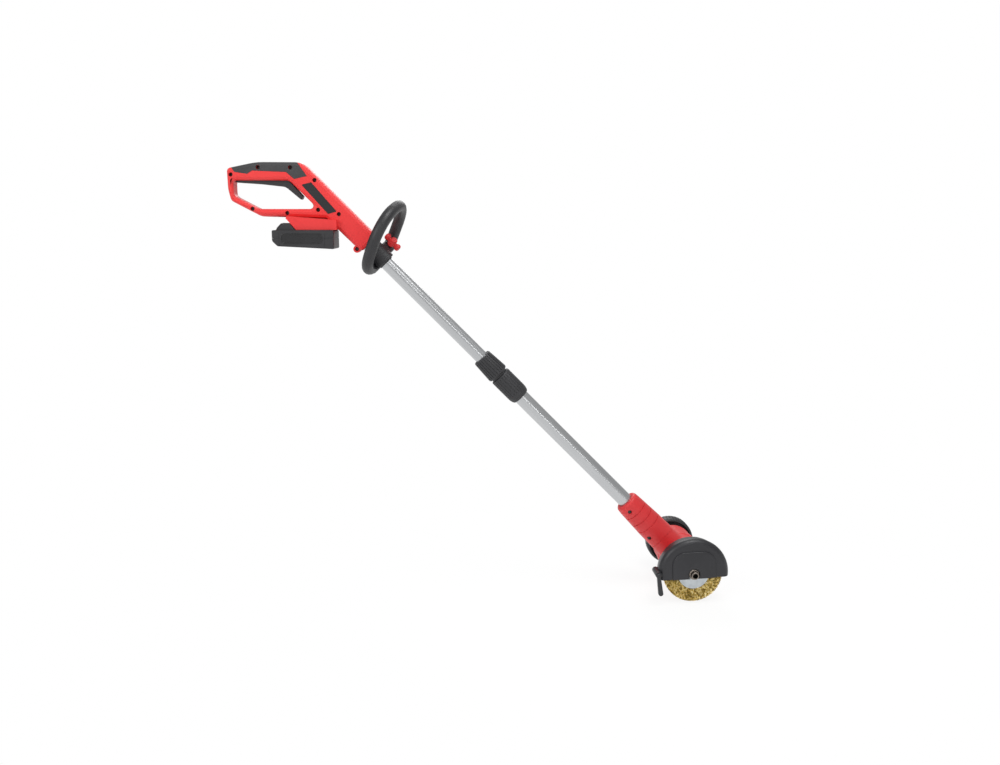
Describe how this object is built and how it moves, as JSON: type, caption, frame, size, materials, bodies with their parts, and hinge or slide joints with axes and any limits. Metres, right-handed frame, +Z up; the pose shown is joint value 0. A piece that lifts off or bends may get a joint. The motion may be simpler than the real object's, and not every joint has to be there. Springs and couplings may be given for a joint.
{
  "type": "cordless joint cleaner",
  "caption": "Battery joint cleaner: red D-handle, side bail, telescopic pole, motor head with brass wire brush, half guard and guide wheel.",
  "frame": {"origin": "middle of the rear D-handle's grip, in its mid plane", "axes": "+X forward, +Z up as held in use, -Y is the user's right, where the brush is"},
  "size_m": [0.7921, 0.1935, 0.7061],
  "materials": {
    "red_shell": "fine matte moulding",
    "head_red": "fine matte moulding",
    "black_plastic": "matte",
    "soft_grip": "matte overmould",
    "plate_black": "semi gloss",
    "aluminium": "anodised",
    "zinc": "zinc plated",
    "steel": "oiled",
    "brass_wire": "drawn wire",
    "cell_wrap": "shrink film"
  },
  "bodies": {
    "handle": {"handle_shell_right": "red_shell", "handle_shell_left": "red_shell", "soft_grip_right": "soft_grip", "soft_grip_left": "soft_grip", "rating_plate": "plate_black", "handle_screw_1": "steel", "handle_screw_2": "steel", "handle_screw_3": "steel", "handle_screw_4": "steel", "handle_screw_5": "steel", "handle_screw_6": "steel", "handle_screw_7": "steel", "handle_screw_8": "steel", "handle_screw_9": "steel", "trigger_pin": "steel", "trigger_spring": "steel", "switch_body": "plate_black", "battery_terminal_block": "black_plastic", "upper_tube": "aluminium", "power_lead": "plate_black"},
    "trigger": {"trigger": "black_plastic"},
    "battery": {"battery_case_bottom": "black_plastic", "battery_case_top": "black_plastic", "cell_pack": "cell_wrap"},
    "latch": {"battery_latch": "black_plastic"},
    "sleeve": {"bail_sleeve": "black_plastic"},
    "bail": {"bail_loop": "black_plastic", "bail_bolt": "steel"},
    "knob": {"bail_knob": "head_red"},
    "lower_pole": {"lower_tube": "aluminium", "pole_collar": "black_plastic", "collet": "black_plastic", "head_shell_right": "head_red", "head_shell_left": "head_red", "neck_screw_1": "steel", "neck_screw_2": "steel", "motor_can": "zinc", "ring_gear": "steel", "bearing_inner": "zinc", "bearing_outer": "zinc", "wheel_axle": "steel", "wheel_cap": "black_plastic"},
    "nut": {"twist_nut": "black_plastic"},
    "rotor": {"motor_shaft": "steel"},
    "brush": {"carrier_spindle": "steel", "wire_brush": "brass_wire", "brush_flange_inner": "zinc", "brush_flange_outer": "zinc", "brush_hub": "steel", "brush_nut": "steel"},
    "planet_1": {"planet_gear_1": "steel"},
    "planet_2": {"planet_gear_2": "steel"},
    "planet_3": {"planet_gear_3": "steel"},
    "guard": {"guard": "black_plastic", "guard_lever_screw": "steel"},
    "lever": {"guard_lever": "black_plastic"},
    "wheel": {"guide_wheel": "black_plastic"}
  },
  "joints": [
    {"name": "trigger_press", "type": "hinge", "parent": "handle", "child": "trigger", "pos_m": [-0.04, 0, -0.012], "axis": [0, -1, 0], "range_deg": [0, 4.5], "stiffness_Nm_per_rad": 1, "springref_deg": -5.73, "deforming": ["trigger_spring"]},
    {"name": "battery_slide", "type": "slide", "parent": "handle", "child": "battery", "axis": [-1, 0, 0], "range_m": [0, 0.075]},
    {"name": "latch_press", "type": "slide", "parent": "battery", "child": "latch", "axis": [0, 0, -1], "range_m": [0, 0.0015], "stiffness_N_per_m": 400, "springref_m": -0.002},
    {"name": "bail_slide", "type": "slide", "parent": "handle", "child": "sleeve", "axis": [0.7009, 0, -0.7133], "range_m": [0, 0.06]},
    {"name": "bail_turn", "type": "hinge", "parent": "sleeve", "child": "bail", "pos_m": [0.158, 0, -0.114], "axis": [0.7009, 0, -0.7133], "range_deg": [-30, 30]},
    {"name": "knob_turn", "type": "hinge", "parent": "bail", "child": "knob", "pos_m": [0.19074, 0.00976, -0.11407], "axis": [0.6177, -0.5, 0.607], "continuous": true},
    {"name": "pole_slide", "type": "slide", "parent": "handle", "child": "lower_pole", "axis": [-0.7009, 0, 0.7133], "range_m": [0, 0.12], "deforming": ["power_lead"]},
    {"name": "nut_turn", "type": "hinge", "parent": "lower_pole", "child": "nut", "pos_m": [0.33673, 0, -0.29588], "axis": [-0.7009, 0, 0.7133], "range_deg": [0, 90]},
    {"name": "brush_spin", "type": "hinge", "parent": "lower_pole", "child": "brush", "pos_m": [0.67878, 0, -0.64395], "axis": [0, -1, 0], "continuous": true},
    {"name": "rotor_spin", "type": "hinge", "parent": "lower_pole", "child": "rotor", "pos_m": [0.67878, 0, -0.64395], "axis": [0, -1, 0], "continuous": true},
    {"name": "planet_1_spin", "type": "hinge", "parent": "brush", "child": "planet_1", "pos_m": [0.69438, 0, -0.64395], "axis": [0, -1, 0], "continuous": true},
    {"name": "planet_2_spin", "type": "hinge", "parent": "brush", "child": "planet_2", "pos_m": [0.67098, 0, -0.63044], "axis": [0, -1, 0], "continuous": true},
    {"name": "planet_3_spin", "type": "hinge", "parent": "brush", "child": "planet_3", "pos_m": [0.67098, 0, -0.65746], "axis": [0, -1, 0], "continuous": true},
    {"name": "guard_turn", "type": "hinge", "parent": "lower_pole", "child": "guard", "pos_m": [0.67878, 0, -0.64395], "axis": [0, -1, 0], "range_deg": [-20, 30]},
    {"name": "lever_turn", "type": "hinge", "parent": "guard", "child": "lever", "pos_m": [0.61914, 0, -0.64195], "axis": [0, -1, 0], "range_deg": [-60, 40]},
    {"name": "wheel_spin", "type": "hinge", "parent": "lower_pole", "child": "wheel", "pos_m": [0.67878, 0.08, -0.64395], "axis": [0, 1, 0], "continuous": true}
  ],
  "couplings": [
    {"joint": "rotor_spin", "follows": "brush_spin", "ratio": 4},
    {"joint": "planet_1_spin", "follows": "brush_spin", "ratio": -3},
    {"joint": "planet_2_spin", "follows": "brush_spin", "ratio": -3},
    {"joint": "planet_3_spin", "follows": "brush_spin", "ratio": -3}
  ]
}
